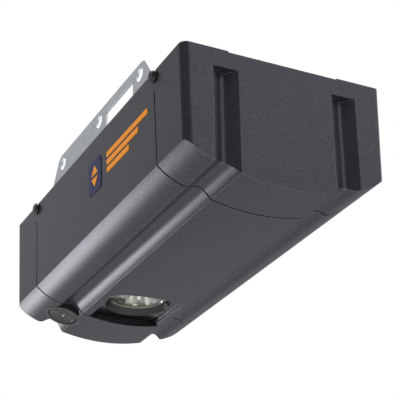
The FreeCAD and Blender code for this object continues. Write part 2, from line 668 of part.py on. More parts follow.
def turned_about_x(shape, degrees):
    return shape.rotated(Vector(0, WORM_Y, DRIVE_Z), Vector(1, 0, 0), degrees)


def slotted(r, slots, depth, width, x0, x1, bore):
    """A round stack with slots along it."""
    core = ring_x(r, bore, x0, x1)
    cutter = box(x0 - 1, x1 + 1, WORM_Y - width / 2, WORM_Y + width / 2, DRIVE_Z + r - depth, DRIVE_Z + r + 2)
    return core.cut([turned_about_x(cutter, 360 * n / slots) for n in range(slots)])


def armature_core():
    return slotted(19.6, 8, 8.0, 3.0, -52, -15, MOTOR_SHAFT_R + SEATED)


def armature_winding():
    """The copper in the core's slots, with the end turns on both sides."""
    ends = [ring_x(15, MOTOR_SHAFT_R + 2, -57.5, -52.05), ring_x(15, MOTOR_SHAFT_R + 2, -14.95, -11.8)]
    filler = box(-52.05, -14.95, WORM_Y - 1.35, WORM_Y + 1.35, DRIVE_Z + 12.2, DRIVE_Z + 18.4)
    coils = [turned_about_x(filler, 45 * n) for n in range(8)]
    return join(ends + coils)


def commutator():
    return slotted(9.0, 8, 1.2, 0.8, -11, -2, MOTOR_SHAFT_R + SEATED)


def worm():
    """A single-start right-hand worm. Its thread crosses the middle of its length on the wheel's side."""
    core = Part.makeCylinder(WORM_PITCH_R - DEDENDUM, WORM_LENGTH)
    turns_in = 1.0
    thread_length = WORM_LENGTH - 2 * turns_in
    sunk = 0.4
    root, tip = WORM_PITCH_R - DEDENDUM - sunk, WORM_PITCH_R + ADDENDUM
    root_half = TOOTH_HALF + (DEDENDUM + sunk) * math.tan(PRESSURE)
    tip_half = TOOTH_HALF - ADDENDUM * math.tan(PRESSURE)
    helix = Part.makeHelix(WORM_LEAD, thread_length - 2 * root_half, WORM_PITCH_R)
    corners = ((root, -root_half), (tip, -tip_half), (tip, tip_half), (root, root_half), (root, -root_half))
    profile = Part.makePolygon([Vector(r, 0, z) for r, z in corners])
    thread = Part.Wire(helix).makePipeShell([profile], True, True)
    thread.translate(Vector(0, 0, turns_in + root_half))
    solid = join([core, thread])
    middle_turns = (WORM_LENGTH / 2 - turns_in - root_half) / WORM_LEAD
    solid.rotate(Vector(0, 0, 0), Vector(0, 0, 1), -360 * middle_turns)
    solid = solid.cut(Part.makeCylinder(MOTOR_SHAFT_R + SEATED, WORM_LENGTH + 2, Vector(0, 0, -1)))
    solid.translate(Vector(0, 0, -WORM_LENGTH / 2))
    solid.Placement = worm_placement().multiply(solid.Placement)
    return solid


def worm_placement():
    """Takes the worm's own Z to +X and its own X to +Y."""
    turn = Rotation(Vector(0, 1, 0), Vector(0, 0, 1), Vector(1, 0, 0), "ZXY")
    return FreeCAD.Placement(Vector(DRIVE_X, WORM_Y, DRIVE_Z), turn)


def encoder_disc():
    disc = ring_x(14, MOTOR_SHAFT_R + SEATED, -76, -74.8)
    hub = ring_x(6.5, MOTOR_SHAFT_R + SEATED, -77.5, -73.5)
    slot = box(-78, -73, WORM_Y - 0.8, WORM_Y + 0.8, DRIVE_Z + 9.5, DRIVE_Z + 12.5)
    return join([disc, hub]).cut([turned_about_x(slot, 30 * n) for n in range(12)])


def encoder_sensor():
    """The light gate that straddles the edge of the disc, on its own bracket."""
    body = box(-80, -71, WORM_Y - 5, WORM_Y + 5, DRIVE_Z + 9, DRIVE_Z + 19)
    slot = box(-77.6, -73.6, WORM_Y - 6, WORM_Y + 6, DRIVE_Z + 8, DRIVE_Z + 15.5)
    arm = box(-71.05, MOTOR_BACK, WORM_Y - 5, WORM_Y + 5, DRIVE_Z + 16, DRIVE_Z + 19)
    return join([body.cut(slot), arm])


# ---- lamp ----
def lamp_reflector():
    """The glass reflector: a bowl with a flat rim and a neck."""
    outer = [(LAMP_R, 0), (LAMP_R, 2.4), (24.6, 3.2), (22.4, 9.0), (18.8, 15.0), (14.4, 20.0), (10.5, 23.5)]
    neck = [(9.5, 25), (9.5, 33), (4.6, 33), (4.6, 22.6)]
    inner = [(9.4, 20.6), (13.2, 17.2), (17.4, 12.4), (20.8, 6.6), (22.6, 1.6), (23.9, 1.5), (23.9, 0)]
    return turned(outer + neck + inner, Vector(LAMP_X, 0, LAMP_RIM_Z))


def lamp_glass():
    return turned([(0, 0.1), (23.7, 0.1), (23.7, 1.4), (0, 1.4)], Vector(LAMP_X, 0, LAMP_RIM_Z))


def lamp_capsule():
    """The bulb inside the reflector, with its pins."""
    points = [(0, 7.0), (2.2, 7.6), (3.8, 9.6), (4.3, 12.5), (4.3, 21.5), (3.6, 23.5), (3.6, 34.5), (0, 34.5)]
    bulb = turned(points, Vector(LAMP_X, 0, LAMP_RIM_Z))
    pins = [upright(0.8, LAMP_X + x, 0, LAMP_RIM_Z + 34, LAMP_RIM_Z + 40) for x in (-2, 2)]
    return join([bulb] + pins)


def lamp_socket():
    body = rounded_plate(LAMP_X - 11, LAMP_X + 11, -7, 7, 3, LAMP_RIM_Z + 34.6, LAMP_RIM_Z + 48)
    return body.cut([upright(0.9, LAMP_X + x, 0, LAMP_RIM_Z + 30, LAMP_RIM_Z + 41) for x in (-2, 2)])


def lamp_bracket():
    """A bent strap from the deck down to the lamp: it carries the socket and a ring round the reflector."""
    shelf_z = LAMP_RIM_Z + 48
    post_x = LAMP_X - 22
    foot = box(post_x, post_x + 20, -12, 12, -SHEET - 1.5, -SHEET)
    post = box(post_x, post_x + 1.5, -12, 12, LAMP_RIM_Z + 18, -SHEET)
    shelf = box(post_x, LAMP_X + 11, -10, 10, shelf_z, shelf_z + 1.5)
    ring = upright(22, LAMP_X, 0, LAMP_RIM_Z + 18, LAMP_RIM_Z + 19.5)
    ring = ring.fuse(box(post_x, LAMP_X, -12, 12, LAMP_RIM_Z + 18, LAMP_RIM_Z + 19.5))
    ring = ring.cut(upright(16.9, LAMP_X, 0, -120, 0))
    return join([foot, post, shelf, ring])


# ---- transformer ----
CORE_X = 118.0
CORE_Z = (-62.0, -7.0)


def both_sides(x0, x1, near, far, z0, z1):
    """Two boxes, one on each side of the XZ plane, between the distances near and far from it."""
    return [box(x0, x1, near, far, z0, z1), box(x0, x1, -far, -near, z0, z1)]


def transformer_core():
    core = box(CORE_X - 22, CORE_X + 22, -33, 33, *CORE_Z)
    return core.cut(both_sides(CORE_X - 30, CORE_X + 30, 11, 22, CORE_Z[0] + 11, CORE_Z[1] - 11))


def transformer_winding():
    z0, z1 = CORE_Z[0] + 11.2, CORE_Z[1] - 11.2
    coil = rounded_plate(CORE_X - 32, CORE_X + 32, -21.6, 21.6, 8, z0, z1)
    return coil.cut(box(CORE_X - 22.2, CORE_X + 22.2, -11.2, 11.2, z0 - 1, z1 + 1))


def transformer_strap():
    """The steel strap round the core, with feet bolted to the deck."""
    z0, z1 = CORE_Z[0] - 0.1, DECK_BOTTOM
    x0, x1, half_y = CORE_X - 9, CORE_X + 9, 33.1
    under = box(x0, x1, -half_y - 1.5, half_y + 1.5, z0 - 1.5, z0)
    sides = both_sides(x0, x1, half_y, half_y + 1.5, z0 - 0.5, z1)
    feet = both_sides(x0, x1, half_y, 50, z1 - 1.5, z1)
    holes = [upright(2.2, CORE_X, s * 43, -20, 0) for s in (-1, 1)]
    return join([under] + sides + feet).cut(holes)


# ---- control board ----
BOARD_Y = 58.0
BOARD_Z = (-78.0, -14.0)
BOARD_X = (-58.0, 80.0)
TERMINAL_X = 21.0


def on_board(x, z, width, height, depth):
    """A block that stands on the board's inner face, centred on x and z."""
    return box(x - width / 2, x + width / 2, BOARD_Y - depth, BOARD_Y, z - height / 2, z + height / 2)


def control_board():
    board = box(BOARD_X[0], BOARD_X[1], BOARD_Y, BOARD_Y + 1.6, *BOARD_Z)
    corners = [(x, z) for x in (BOARD_X[0] + 6, BOARD_X[1] - 6) for z in (BOARD_Z[0] + 5, BOARD_Z[1] - 5)]
    return board.cut([rod(1.7, Vector(x, 50, z), Vector(x, 65, z)) for x, z in corners])


def board_relays():
    return group([on_board(x, -31, 19, 15.5, 15.5) for x in (-40, -18)])


def board_capacitors():
    cans = ((8, 20, -42, -62), (8, 20, -24, -62), (5, 14, -8, -64), (4, 11, 4, -66))
    return group([rod(r, Vector(x, BOARD_Y - h, z), Vector(x, BOARD_Y, z)) for r, h, x, z in cans])


def board_terminals():
    """A row of eight screw terminals along the board's lower edge."""
    blocks = []
    for n in range(8):
        x = TERMINAL_X + 6.2 * n
        block = on_board(x, -70, 6.0, 10, 11).cut(rod(1.9, Vector(x, 40, -68), Vector(x, BOARD_Y - 7, -68)))
        blocks.append(block.cut(box(x - 1.8, x + 1.8, BOARD_Y - 9, BOARD_Y - 4, -76, -71)))
    return group(blocks)


def board_fuse():
    """A glass fuse between two clips on its base."""
    middle, y, z = 10, BOARD_Y - 7, -24
    base = on_board(middle, z, 26, 9, 3)
    clips = [on_board(x, z, 4, 8, 9).cut(rod(2.65, Vector(-30, y, z), Vector(50, y, z)))
             for x in (middle - 8, middle + 8)]
    cartridge = rod(2.5, Vector(middle - 10.5, y, z), Vector(middle + 10.5, y, z))
    return group([join([base] + clips), cartridge])


def board_chips():
    """The controller, its driver chips and the radio receiver's can."""
    spots = ((30, -45, 14, 14, 1.8), (50, -45, 9, 6, 1.6), (50, -36, 9, 6, 1.6), (66, -44, 18, 14, 3.5),
             (12, -44, 8, 12, 2.0))
    return group([on_board(*spot) for spot in spots])


def board_brackets():
    """Two angles that hang the board from the deck."""
    angles = []
    for x in (BOARD_X[0] + 6, BOARD_X[1] - 6):
        leg = box(x - 6, x + 6, BOARD_Y + 1.7, BOARD_Y + 3.2, BOARD_Z[0], DECK_BOTTOM)
        foot = box(x - 6, x + 6, BOARD_Y + 1.7, BOARD_Y + 14, DECK_BOTTOM - 1.5, DECK_BOTTOM)
        holes = [rod(1.7, Vector(x, 50, z), Vector(x, 65, z)) for z in (BOARD_Z[0] + 5, BOARD_Z[1] - 5)]
        angles.append(join([leg, foot]).cut(holes))
    return group(angles)


def inner_screws():
    """Four screws through the board into its brackets, and two that hold the transformer's feet."""
    board = [pan_screw(1.5, 3.0, 1.8, 6, Vector(x, BOARD_Y - 0.02, z), Vector(0, 1, 0))
             for x in (BOARD_X[0] + 6, BOARD_X[1] - 6) for z in (BOARD_Z[0] + 5, BOARD_Z[1] - 5)]
    feet = [pan_screw(2.0, 4.0, 2.4, 1.5, Vector(CORE_X, s * 43, DECK_BOTTOM - 1.5)) for s in (-1, 1)]
    return group(board + feet)


# ---- button on the rear cap ----
def at_button(shape):
    """Moves a shape drawn about the button's axis, with +Z into the housing, to the rear cap."""
    placement = FreeCAD.Placement(BUTTON_POS, Rotation(Vector(1, 0, 0), BUTTON_TILT))
    shape.Placement = placement.multiply(shape.Placement)
    return shape


def button_bezel():
    """The collar round the button, with a flange behind the cap's wall."""
    bore = BUTTON_R + 0.3
    face = [(bore, 0.4), (bore + 0.4, 0), (BEZEL_R - 0.5, 0), (BEZEL_R, 0.5)]
    flange = [(BEZEL_R, 8.4), (19.0, 8.4), (19.0, 9.6), (bore, 9.6)]
    return at_button(turned(face + flange, Vector(0, 0, 0)))


def control_button():
    """A clear cap with a dished face, a skirt with a stop flange, and a stem for the switch."""
    r = BUTTON_R
    face = [(0, 1.6), (2.0, 1.7), (r - 2.5, 0.7), (r - 0.6, 0.6), (r, 1.2)]
    skirt = [(r, 10.0), (15.4, 10.0), (15.4, 11.2), (r - 2, 11.2), (r - 2, 3.4)]
    stem = [(2.4, 3.6), (2.2, 12.48), (0, 12.48)]
    return at_button(turned(face + skirt + stem, Vector(0, 0, 0)))


def button_carrier():
    """The ring that spaces the button's board from the bezel."""
    return at_button(turned([(16.0, 9.7), (18.9, 9.7), (18.9, 17.0), (16.0, 17.0)], Vector(0, 0, 0)))


def button_board():
    board = rounded_plate(-16, 16, -16, 16, 3, 17.05, 18.65)
    return at_button(board)


def button_switch():
    body = box(-3.1, 3.1, -3.1, 3.1, 13.4, 17.0)
    return at_button(body.cut(Part.makeCylinder(1.75, 2.3, Vector(0, 0, 13.3))))


def switch_plunger():
    return at_button(Part.makeCylinder(1.7, 2.2, Vector(0, 0, 12.5)))


def status_led():
    points = [(0, 13.0), (1.2, 13.2), (1.5, 14.0), (1.5, 16.2), (1.9, 16.2), (1.9, 17.0), (0, 17.0)]
    return at_button(turned(points, Vector(7, 0, 0)))


# ---- leads held inside the housing ----
def lead(points, diameter):
    """A round lead along straight runs joined by tangent arcs, each as large as its two runs allow."""
    route = [Vector(*p) for p in points]
    edges = []
    radii = []
    start = route[0]
    for before, point, after in zip(route, route[1:], route[2:]):
        back, ahead = before - point, after - point
        run = min(back.Length, ahead.Length)
        trim = 0.45 * run
        half_turn = (math.pi - back.getAngle(ahead)) / 2
        radii.append(trim / math.tan(half_turn))
        first = point + Vector(back).normalize() * trim
        last = point + Vector(ahead).normalize() * trim
        bisector = (Vector(back).normalize() + Vector(ahead).normalize()).normalize()
        depth = radii[-1] / math.cos(half_turn) - radii[-1]
        edges += [Part.makeLine(start, first), Part.Arc(first, point + bisector * depth, last).toShape()]
        start = last
    edges.append(Part.makeLine(start, route[-1]))
    direction = route[1] - route[0]
    circle = Part.Wire(Part.makeCircle(diameter / 2, route[0], direction))
    pipe = Part.Wire(edges).makePipeShell([circle], True, False)
    expected = math.pi * diameter ** 2 / 4 * sum(edge.Length for edge in edges)
    print("lead volume against section times length: %.4f, radii %s" % (
        pipe.Volume / expected, [round(r, 1) for r in radii]))
    return pipe


LEAD_Y = BOARD_Y - 6.5


def lamp_lead():
    """From the lamp's socket, under the board, into the first terminal."""
    z = LAMP_RIM_Z + 41
    x = TERMINAL_X
    start = [(LAMP_X, 7.05, z), (LAMP_X, 40, z), (-78, LEAD_Y, -82)]
    return lead(start + [(x, LEAD_Y, -82), (x, LEAD_Y, -71.3)], 3.0)


def motor_lead():
    """From the back of the motor, past the lamp and under the board, into the second terminal."""
    x = TERMINAL_X + 6.2
    start = [(MOTOR_BACK - 0.05, -20, -50), (-76, -20, -50), (-76, 46, -50), (-76, 45, -87)]
    return lead(start + [(-50, LEAD_Y, -87), (x, LEAD_Y, -87), (x, LEAD_Y, -71.3)], 3.0)


def nodes():
    shell = cover_shell()
    left = hanger_left()
    return {
        "chassis_plate": chassis_plate(),
        "hanger_left": left,
        "hanger_right": mirrored_y(left),
        "hanger_bolts": hanger_bolts(),
        "hanger_nuts": hanger_nuts(),
        "inlet_grommet": inlet_grommet(),
        "front_end_cap": front_end_cap(shell),
        "rear_end_cap": rear_end_cap(shell),
        "cover_screws": cover_screws(),
        "centre_hood": centre_hood(shell),
        "lamp_surround": lamp_surround(),
        "side_badge": side_badge(),
        "side_stripes": side_stripes(),
        "gearbox_housing": gearbox_housing(),
        "gearbox_cover": gearbox_cover(),
        "gearbox_screws": gearbox_screws(),
        "output_bushes": output_bushes(),
        "worm_wheel": worm_wheel(),
        "wheel_key": wheel_key(),
        "output_shaft": output_shaft(),
        "drive_adapter": drive_adapter(),
        "adapter_circlip": adapter_circlip(),
        "motor_can": motor_can(),
        "motor_end_plate": motor_end_plate(),
        "motor_magnets": motor_magnets(),
        "motor_brushes": motor_brushes(),
        "motor_bolts": motor_bolts(),
        "worm_bushes": worm_bushes(),
        "armature_shaft": armature_shaft(),
        "armature_core": armature_core(),
        "armature_winding": armature_winding(),
        "commutator": commutator(),
        "worm": worm(),
        "encoder_disc": encoder_disc(),
        "encoder_sensor": encoder_sensor(),
        "lamp_reflector": lamp_reflector(),
        "lamp_glass": lamp_glass(),
        "lamp_capsule": lamp_capsule(),
        "lamp_socket": lamp_socket(),
        "lamp_bracket": lamp_bracket(),
        "transformer_core": transformer_core(),
        "transformer_winding": transformer_winding(),
        "transformer_strap": transformer_strap(),
        "control_board": control_board(),
        "board_relays": board_relays(),
        "board_capacitors": board_capacitors(),
        "board_terminals": board_terminals(),
        "board_fuse": board_fuse(),
        "board_chips": board_chips(),
        "board_brackets": board_brackets(),
        "inner_screws": inner_screws(),
        "button_bezel": button_bezel(),
        "control_button": control_button(),
        "button_carrier": button_carrier(),
        "button_board": button_board(),
        "button_switch": button_switch(),
        "switch_plunger": switch_plunger(),
        "status_led": status_led(),
        "lamp_lead": lamp_lead(),
        "motor_lead": motor_lead(),
    }


os.makedirs("parts", exist_ok=True)
for name, shape in nodes().items():
    shape.exportStep("parts/%s.step" % name)
    print("%-20s solids %2d volume %10.1f" % (name, len(shape.Solids), shape.Volume), shape.isValid())
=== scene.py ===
import json
import math
import random

import bpy
from mathutils import Matrix, Vector


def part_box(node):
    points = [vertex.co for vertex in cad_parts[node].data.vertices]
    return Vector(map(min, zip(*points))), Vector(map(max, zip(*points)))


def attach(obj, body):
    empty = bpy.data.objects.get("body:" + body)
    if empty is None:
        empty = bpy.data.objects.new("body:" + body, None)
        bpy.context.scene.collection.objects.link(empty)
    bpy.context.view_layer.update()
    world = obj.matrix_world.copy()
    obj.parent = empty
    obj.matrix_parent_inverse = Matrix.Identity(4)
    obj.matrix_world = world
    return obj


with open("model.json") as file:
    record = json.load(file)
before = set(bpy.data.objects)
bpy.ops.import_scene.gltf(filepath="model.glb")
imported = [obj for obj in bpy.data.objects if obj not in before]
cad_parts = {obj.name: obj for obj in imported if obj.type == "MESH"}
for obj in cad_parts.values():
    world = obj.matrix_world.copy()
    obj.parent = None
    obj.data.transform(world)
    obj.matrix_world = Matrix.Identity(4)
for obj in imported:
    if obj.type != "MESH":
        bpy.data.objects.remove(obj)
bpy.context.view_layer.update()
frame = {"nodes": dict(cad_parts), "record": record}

MM = 0.001
WHITE = (1.0, 1.0, 1.0, 1.0)


# ---- node helpers ----
# Texture scales are in features per metre. Distances and radii are in metres.
# EDGE_SAMPLES and the two cosines set the mask for the painted highlights on edges.
EDGE_SAMPLES = 6
SHARP_EDGE, FLAT_GROUND = 0.75, 0.995     # cosines between the true and the rounded normal
# GAP_SAMPLES and the two shares set the mask for the painted shade in gaps.
GAP_SAMPLES = 8
DEEP_GAP, OPEN_FACE = 0.12, 0.72          # shares of the surroundings that a point sees


class Shader:
    """A material's node tree, with short calls for the nodes that the finishes here share."""

    def __init__(self, name, **inputs):
        self.material = bpy.data.materials.new(name)
        self.material.use_nodes = True
        self.tree = self.material.node_tree
        self.bsdf = self.tree.nodes["Principled BSDF"]
        for key, value in inputs.items():
            self.bsdf.inputs[key.replace("_", " ")].default_value = value
        self.coords = self.tree.nodes.new("ShaderNodeTexCoord").outputs["Object"]

    def node(self, kind, links=(), **values):
        node = self.tree.nodes.new("ShaderNode" + kind)
        for key, value in values.items():
            if hasattr(node, key):
                setattr(node, key, value)
            else:
                node.inputs[key.replace("_", " ")].default_value = value
        for key, output in dict(links).items():
            self.link(output, node.inputs[key])
        return node

    def link(self, output, socket):
        self.tree.links.new(output, socket)

    def stretched(self, scale):
        node = self.node("Mapping", {"Vector": self.coords})
        node.inputs["Scale"].default_value = scale
        return node.outputs["Vector"]

    def noise(self, scale, detail=2.0, rough=0.5, vector=None):
        node = self.node("TexNoise", {"Vector": vector or self.coords},
                         Scale=scale, Detail=detail, Roughness=rough)
        return node.outputs["Fac"]

    def cells(self, scale):
        return self.node("TexVoronoi", {"Vector": self.coords}, Scale=scale).outputs["Color"]

    def ramp(self, value, stops):
        node = self.node("ValToRGB", {"Fac": value})
        points = node.color_ramp.elements
        while len(points) < len(stops):
            points.new(0.5)
        for point, (place, colour) in zip(points, stops):
            point.position = place
            point.color = (*colour, 1.0)
        return node.outputs["Color"]

    def span(self, value, low, high, source=(0.0, 1.0)):
        node = self.node("MapRange", {"Value": value})
        node.inputs["From Min"].default_value = source[0]
        node.inputs["From Max"].default_value = source[1]
        node.inputs["To Min"].default_value = low
        node.inputs["To Max"].default_value = high
        return node.outputs["Result"]

    def math(self, operation, a, b):
        node = self.node("Math", operation=operation)
        for socket, value in zip(node.inputs, (a, b)):
            if isinstance(value, (int, float)):
                socket.default_value = value
            else:
                self.link(value, socket)
        return node.outputs["Value"]

    def mix(self, fac, a, b):
        node = self.node("MixRGB", {"Fac": fac})
        for key, value in (("Color1", a), ("Color2", b)):
            if isinstance(value, (tuple, list)):
                node.inputs[key].default_value = (*value, 1.0)
            else:
                self.link(value, node.inputs[key])
        return node.outputs["Color"]

    def edges(self, radius):
        """0 on flat ground and up to 1 on edges, from the angle between the true and a rounded normal;
        the finishes use it to paint highlights on edges.
        """
        plain = self.node("NewGeometry").outputs["Normal"]
        dot = self.node("VectorMath", operation="DOT_PRODUCT")
        self.link(self.rounded(radius), dot.inputs[0])
        self.link(plain, dot.inputs[1])
        return self.span(dot.outputs["Value"], 1.0, 0.0, (SHARP_EDGE, FLAT_GROUND))

    def rounded(self, radius):
        return self.node("Bevel", samples=EDGE_SAMPLES, Radius=radius).outputs["Normal"]

    def gap_shade_mask(self, distance):
        """1 in the open and down to 0 deep in a gap, from how much of the surroundings a point sees; the
        finishes use it to paint shade into gaps.
        """
        seen = self.node("AmbientOcclusion", samples=GAP_SAMPLES, Distance=distance).outputs["AO"]
        return self.span(seen, 0.0, 1.0, (DEEP_GAP, OPEN_FACE))

    def bump(self, height, strength, distance, radius=None):
        node = self.node("Bump", {"Height": height}, Strength=strength, Distance=distance)
        if radius:
            self.link(self.rounded(radius), node.inputs["Normal"])
        self.link(node.outputs["Normal"], self.bsdf.inputs["Normal"])

    def colour(self, output):
        self.link(output, self.bsdf.inputs["Base Color"])

    def rough(self, output):
        self.link(output, self.bsdf.inputs["Roughness"])


def housing_paint():
    """Satin anthracite with metal flakes: each flake has its own tone and tilt. Edges get a painted
    highlight, and gaps and seams a painted shade.
    """
    s = Shader("housing", Metallic=0.75, IOR=1.45)
    dark, middle, bright = (0.020, 0.020, 0.025), (0.042, 0.042, 0.050), (0.100, 0.100, 0.116)
    edge_highlight_colour, gap_shade_colour = (0.34, 0.34, 0.37), (0.002, 0.002, 0.002)
    fine = s.span(s.cells(2600), 0.0, 0.6)
    coarse = s.span(s.noise(1200, 2, 0.7), 0.0, 0.4, (0.36, 0.66))
    tone = s.math("ADD", fine, coarse)
    cloud = s.noise(9, 3)
    base = s.ramp(tone, [(0.0, dark), (0.6, middle), (1.0, bright)])
    base = s.mix(s.span(cloud, 0.0, 0.25), base, middle)
    # painted highlight: a lighter colour along the edges, broken up by noise
    edge_highlight = s.math("MULTIPLY", s.edges(0.0010), s.span(s.noise(180, 4), 0.35, 1.0, (0.35, 0.65)))
    painted = s.mix(s.math("MULTIPLY", edge_highlight, 0.6), base, edge_highlight_colour)
    # painted shade: the colour goes almost black deep in gaps and seams
    s.colour(s.mix(s.gap_shade_mask(0.0022), gap_shade_colour, painted))
    s.rough(s.math("ADD", s.span(s.noise(700, 3), 0.27, 0.36), s.span(cloud, -0.03, 0.03)))
    s.bump(s.math("ADD", tone, s.noise(1300, 2)), 0.22, 0.00006, 0.0006)
    return s.material


def zinc():
    """Galvanised sheet: soft spangle, fine drawn lines, painted highlights on the edges and painted shade
    in gaps and holes.
    """
    s = Shader("zinc_steel", Metallic=0.9)
    spangle = s.cells(140)
    lines = s.noise(60, 4, 0.6, s.stretched((1.0, 30.0, 30.0)))
    base = s.ramp(spangle, [(0.0, (0.50, 0.52, 0.53)), (1.0, (0.64, 0.66, 0.67))])
    base = s.mix(s.span(lines, 0.0, 0.35), base, (0.42, 0.43, 0.45))
    # painted highlight: a lighter colour along the edges
    bright = s.mix(s.math("MULTIPLY", s.edges(0.0006), 0.5), base, (0.75, 0.76, 0.78))
    # painted shade: the colour goes almost black deep in gaps and holes
    s.colour(s.mix(s.gap_shade_mask(0.012), (0.01, 0.01, 0.01), bright))
    s.rough(s.math("ADD", s.span(spangle, 0.34, 0.46), s.span(lines, -0.05, 0.08)))
    s.bump(s.math("ADD", lines, s.noise(900, 2)), 0.2, 0.00008, 0.0003)
    return s.material


def steel(name, colour, rough=0.3, metallic=1.0):
    """Machined or plated metal with fine marks and painted highlights on the edges."""
    s = Shader(name, Metallic=metallic)
    marks = s.noise(500, 5, 0.6, s.stretched((1.0, 1.0, 12.0)))
    dark = tuple(c * 0.72 for c in colour)
    base = s.mix(s.span(marks, 0.0, 0.8, (0.3, 0.7)), colour, dark)
    # painted highlight: a lighter colour along the edges
    light = tuple(min(1.0, c * 1.5 + 0.03) for c in colour)
    s.colour(s.mix(s.math("MULTIPLY", s.edges(0.0004), 0.6), base, light))
    s.rough(s.span(s.noise(300, 3), rough - 0.06, rough + 0.1))
    s.bump(marks, 0.15, 0.00005, 0.00025)
    return s.material


def plastic(name, colour, rough=0.45, grain=900, depth=0.00005, **inputs):
    """Moulded plastic with a fine texture, slight mottling and painted highlights on the edges."""
    s = Shader(name, **inputs)
    mottle = s.noise(40, 3)
    base = s.mix(s.span(mottle, 0.0, 0.5), colour, tuple(c * 0.8 for c in colour))
    # painted highlight: a lighter colour along the edges
    light = tuple(min(1.0, c * 1.6 + 0.02) for c in colour)
    s.colour(s.mix(s.math("MULTIPLY", s.edges(0.0004), 0.25), base, light))
    texture = s.span(s.noise(grain, 2), rough - 0.05, rough + 0.06)
    s.rough(s.math("ADD", texture, s.span(mottle, -0.03, 0.03)))
    s.bump(s.noise(grain, 2), 0.3, depth, 0.0003)
    return s.material


def mirror_panes():
    """Aluminised glass: every pane has its own tone between dark olive and silver."""
    s = Shader("mirror_panes", Metallic=1.0)
    each = s.node("NewGeometry").outputs["Random Per Island"]
    tone = s.ramp(each, [(0.0, (0.06, 0.06, 0.035)), (0.45, (0.30, 0.30, 0.22)),
                         (0.8, (0.70, 0.70, 0.60)), (1.0, (0.95, 0.95, 0.90))])
    haze = s.noise(150, 3)
    s.colour(s.mix(s.span(haze, 0.0, 0.4), tone, (0.35, 0.34, 0.26)))
    s.rough(s.span(haze, 0.06, 0.16))
    s.bump(haze, 0.1, 0.00003)
    return s.material


def clear(name, colour, rough=0.04):
    """Clear glass or plastic with faint smears."""
    s = Shader(name, Transmission_Weight=1.0, IOR=1.49)
    smear = s.noise(60, 4)
    s.colour(s.mix(s.span(smear, 0.0, 0.2), colour, tuple(c * 0.9 for c in colour)))
    s.rough(s.span(smear, rough, rough + 0.05))
    s.bump(s.noise(120, 2), 0.05, 0.00003)
    return s.material


FINISHES = {
    "housing": housing_paint(),
    "zinc_steel": zinc(),
    "bright_steel": steel("bright_steel", (0.55, 0.55, 0.56)),
    "black_screw": steel("black_screw", (0.004, 0.004, 0.005), 0.16, 0.0),
    "surround_black": plastic("surround_black", (0.006, 0.006, 0.008), 0.22, 400, 0.00002),
    "badge_face": plastic("badge_face", (0.006, 0.008, 0.075), 0.35, Specular_IOR_Level=0.2),
    "stripe_orange": plastic("stripe_orange", (1.0, 0.33, 0.008), Specular_IOR_Level=0.2),
    "casting": steel("casting", (0.55, 0.56, 0.57), 0.45, 0.9),
    "bronze": steel("bronze", (0.55, 0.38, 0.18), 0.35),
    "wheel_nylon": plastic("wheel_nylon", (0.72, 0.68, 0.55), 0.4),
    "magnet": plastic("magnet", (0.05, 0.05, 0.055), 0.6),
    "carbon": plastic("carbon", (0.02, 0.02, 0.02), 0.55),
    "core_steel": steel("core_steel", (0.20, 0.20, 0.21), 0.45, 0.8),
    "copper": steel("copper", (0.60, 0.26, 0.12), 0.3),
    "coil_tape": plastic("coil_tape", (0.70, 0.50, 0.06), 0.25),
    "mirror_glass": mirror_panes(),
    "clear_glass": clear("clear_glass", (0.97, 0.98, 0.98)),
    "ceramic_white": plastic("ceramic_white", (0.78, 0.76, 0.70), 0.6),
    "board_green": plastic("board_green", (0.02, 0.14, 0.05), 0.3),
    "part_black": plastic("part_black", (0.02, 0.02, 0.02), 0.5),
    "part_green": plastic("part_green", (0.05, 0.28, 0.08), 0.45),
    "bezel_black": plastic("bezel_black", (0.02, 0.02, 0.023), 0.3),
    "smoked_clear": plastic("smoked_clear", (0.008, 0.008, 0.010), 0.12, 300, 0.00001,
                            Transmission_Weight=0.35),
    "led_lens": clear("led_lens", (0.35, 0.85, 0.45), 0.1),
    "grommet_rubber": plastic("grommet_rubber", (0.02, 0.02, 0.02), 0.6),
    "lead_sheath": plastic("lead_sheath", (0.35, 0.35, 0.36), 0.5),
}

slot_of = {part["node"]: part["material_slot"] for part in frame["record"]["subparts"]}
for node, thing in frame["nodes"].items():
    for holder in thing.material_slots:
        holder.material = FINISHES[slot_of[node]]


# ---- small mesh pieces, in millimetres ----
PANES = 34                # panes in each of the mirror's rings
PANE_TIP = 0.35           # the most that a pane's corner stands forward
PANE_T = 0.1
MIRROR_PROFILE = ((23.2, 1.8), (21.6, 4.4), (19.6, 7.8), (17.0, 11.4), (13.6, 15.2), (9.6, 18.9))

BADGE_T = 0.5
ARROW_T = 0.25
ARROW_HALF, ARROW_GAP, ARROW_RISE = 6.5, 1.6, 8.0

COLLAR_R = 16.0
COLLAR_FLANGE_R = 19.0
COLLAR_FLANGE_DEPTH = 8.4
DISH_MIDDLE_R, DISH_DEPTH, DISH_RUN = 2.0, 1.7, 8.8     # the face comes 1 mm forward over DISH_RUN
RING_SECTION = ((-0.4, 0.15), (-0.22, -0.22), (0.22, -0.22), (0.4, 0.15))
RING_STEPS = 72
STUDS, STUD_PITCH, STUD_RISE, STUD_SIDES = 3, 2.2, 0.4, 12
STUD_R = 0.55
STUD_LAYERS = ((1.9, STUD_R), (1.25, STUD_R), (1.12, STUD_R * 0.7))


def piece(name, verts, faces, finish, body, smooth=False):
    """A mesh in metres from points in millimetres, with a finish and the body that it rides on."""
    mesh = bpy.data.meshes.new(name)
    mesh.from_pydata([Vector(v) * MM for v in verts], [], faces)
    mesh.validate()
    mesh.shade_smooth() if smooth else mesh.shade_flat()
    mesh.materials.append(FINISHES[finish])
    thing = bpy.data.objects.new(name, mesh)
    bpy.context.collection.objects.link(thing)
    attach(thing, body)
    return thing


def corners_mm(node):
    """The low and the high corner of a node's box, in millimetres."""
    low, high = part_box(node)
    return Vector(low) / MM, Vector(high) / MM


